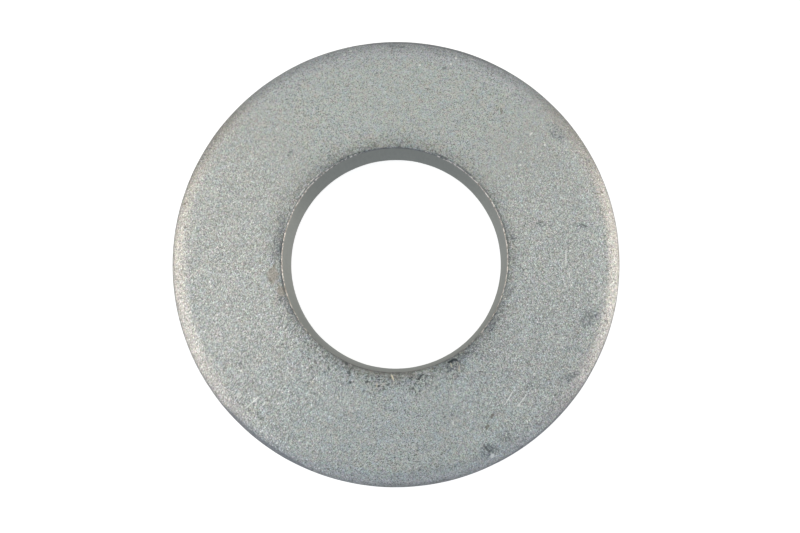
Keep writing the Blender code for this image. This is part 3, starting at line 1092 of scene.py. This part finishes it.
def zinc_plate():
    """The washer's one material, from the bare plate to the dirt and wear upon it, with painted
    highlights and shade.
    """
    material = bpy.data.materials.new("zinc_plate")
    material.use_nodes = True
    paint = Paint(material.node_tree)
    shader = material.node_tree.nodes["Principled BSDF"].inputs
    spot = find_spot(paint)
    ragged = ragged_place(paint, spot)

    swept = swept_strokes(paint, spot)
    tone = crystal_tone(paint, spot, swept)
    place_brightness = brightness_by_place(paint, spot)
    plate, roll = plate_colour(paint, spot)
    strokes = stroke_glint_share(paint, spot, swept)
    specks = speck_share(paint, spot)
    # The tone takes the brightness by place, partly painted light, and the painted glints of the pale
    # strokes
    tone = tone * place_brightness * (1.0 + 0.38 * strokes)
    tone = tone * (1.0 - (0.34 - 0.14 * spot.right * spot.right) * specks)
    colour = paint.scaled(plate, tone)

    mottle = paint.noise(spot.place, MOTTLES, 3.0, 0.7)
    freckle = paint.noise(spot.place, FRECKLES, 2.0, 0.6)
    dirt_and_shade = DirtAndShade(ragged, mottle, freckle)
    colour = smeared(paint, dirt_and_shade, tone, colour)
    colour = stained(paint, spot, dirt_and_shade, roll, colour)
    colour, pits, scrapes = scarred(paint, spot, dirt_and_shade, colour)
    ring = paint.noise(spot.place, RING_WAVES, 3.0, 0.6)
    colour = bore_edged(paint, spot, ring, colour)
    colour, walls = walled(paint, spot, ring, colour)
    colour = outer_edged(paint, spot, dirt_and_shade, ring, roll, walls.outside, colour)

    paint.put(shader["Base Color"], colour)
    shader["Metallic"].default_value = 1.0
    roughness = PLATE_ROUGHNESS + 0.12 * (mottle - 0.5) + 0.15 * pits
    roughness = roughness - 0.06 * walls.share + 0.12 * walls.torn
    paint.put(shader["Roughness"], roughness)
    bumps = paint.noise(spot.place, BUMPS, 2.0, 0.6) - 0.9 * pits + 0.25 * scrapes
    bumps = bumps + 2.5 * walls.torn * walls.crumbs
    relief = paint.node(
        "ShaderNodeBump",
        None,
        {"Strength": RELIEF_STRENGTH, "Distance": RELIEF_HEIGHT, "Height": bumps},
    )
    paint.put(shader["Normal"], relief)
    return material


# ------------------------------------------------------------- floor and light

# Watts that give a square metre of soft box a brightness of 1
POWER_OF_BRIGHTNESS = 7.17

# A light's bearing from +X towards +Y and its elevation in degrees, then metres
SoftBox = namedtuple("SoftBox", "bearing elevation distance width height brightness colour")

SOFT_BOXES = {
    "overhead": SoftBox(95, 68, 0.6, 0.9, 0.9, 0.15, (1.0, 1.0, 0.98)),
    "left_window": SoftBox(184, 12, 0.5, 0.58, 1.2, 0.455, (1.0, 0.94, 0.85)),
    "right_window": SoftBox(2, -5, 0.5, 0.52, 1.05, 0.46, (1.0, 0.94, 0.85)),
}

# The pale room: its tint before and behind the washer, and its brightness from low to high
TINT_BEFORE = (0.915, 0.985, 1.07, 1.0)
TINT_BEHIND = (1.0, 1.02, 0.99, 1.0)
WHITE = (1.0, 1.0, 1.0, 1.0)
ROOM_BELOW = 0.37
ROOM_GAIN_LEVEL = 0.33
ROOM_LOSS_ABOVE = 0.06
ROOM_GAIN_BEFORE = 1.07

FLOOR_SIZE = 3.0
FLOOR_GREY = (0.44, 0.44, 0.44, 1.0)
FLOOR_PALE_GREY = (0.46, 0.46, 0.46, 1.0)
FLOOR_MOTTLES_PER_METRE = 40.0
FLOOR_ROUGHNESS = 0.9
FLOOR_GLOW = 0.8


def hang_soft_box(name, box):
    """An area light that faces the washer, unseen by the camera."""
    data = bpy.data.lights.new(name, "AREA")
    data.shape = "RECTANGLE"
    data.size = box.width
    data.size_y = box.height
    data.energy = box.brightness * box.width * box.height * POWER_OF_BRIGHTNESS
    data.color = box.colour
    light = bpy.data.objects.new(name, data)
    bpy.context.scene.collection.objects.link(light)
    elevation = math.radians(box.elevation)
    bearing = math.radians(box.bearing)
    across = math.cos(elevation) * math.cos(bearing)
    along = math.cos(elevation) * math.sin(bearing)
    away = Vector((across, along, math.sin(elevation)))
    light.location = away * box.distance
    light.rotation_euler = away.to_track_quat("Z", "Y").to_euler()
    light.visible_camera = False


def light_studio():
    """Soft boxes overhead, left and right, in a pale room that is dimmer below."""
    for name, box in SOFT_BOXES.items():
        hang_soft_box(name, box)
    world = bpy.data.worlds.new("pale_room")
    bpy.context.scene.world = world
    world.use_nodes = True
    paint = Paint(world.node_tree)
    background = world.node_tree.nodes["Background"].inputs
    towards = paint.node("ShaderNodeTexCoord", out="Generated")
    axes = paint.node("ShaderNodeSeparateXYZ", None, {0: towards})
    y, z = (Worth(paint, axes.socket.node.outputs[name]) for name in "YZ")
    brightness = ROOM_BELOW + paint.ramp(z, -0.95, -0.1, 0.0, ROOM_GAIN_LEVEL)
    brightness = brightness - paint.ramp(z, 0.3, 0.95, 0.0, ROOM_LOSS_ABOVE)
    tint = paint.mix(paint.ramp(y, -0.5, 0.5), TINT_BEFORE, TINT_BEHIND)
    room = paint.scaled(tint, brightness * paint.ramp(y, 0.1, -0.7, 1.0, ROOM_GAIN_BEFORE))
    seen = paint.node("ShaderNodeLightPath", out="Is Camera Ray")
    paint.put(background["Color"], paint.mix(seen, room, WHITE))


def white_floor():
    material = bpy.data.materials.new("white_floor")
    material.use_nodes = True
    paint = Paint(material.node_tree)
    shader = material.node_tree.nodes["Principled BSDF"].inputs
    place = paint.node("ShaderNodeTexCoord", out="Object")
    mottle = paint.noise(place, FLOOR_MOTTLES_PER_METRE, 2.0)
    paint.put(shader["Base Color"], paint.mix(mottle, FLOOR_GREY, FLOOR_PALE_GREY))
    shader["Roughness"].default_value = FLOOR_ROUGHNESS
    shader["Emission Color"].default_value = WHITE
    shader["Emission Strength"].default_value = FLOOR_GLOW
    return material


def add_floor():
    deselect_all()
    bpy.ops.mesh.primitive_plane_add(size=FLOOR_SIZE, location=(0, 0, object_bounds()[0].z))
    floor = bpy.context.object
    floor.name = "floor"
    bpy.ops.object.transform_apply(location=True, rotation=True, scale=True)
    floor.data.materials.append(white_floor())
    # The washer mirrors the dim lower room, as it does in the photograph
    floor.visible_glossy = False
    floor.visible_diffuse = False
    floor.visible_shadow = False


# -------------------------------------------------------------------- the scene

washer = build_washer()
washer.data.materials.append(zinc_plate())
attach(washer, "root")
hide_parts(NODE)

add_camera()
add_floor()
light_studio()
bpy.context.scene.view_settings.view_transform = "Standard"
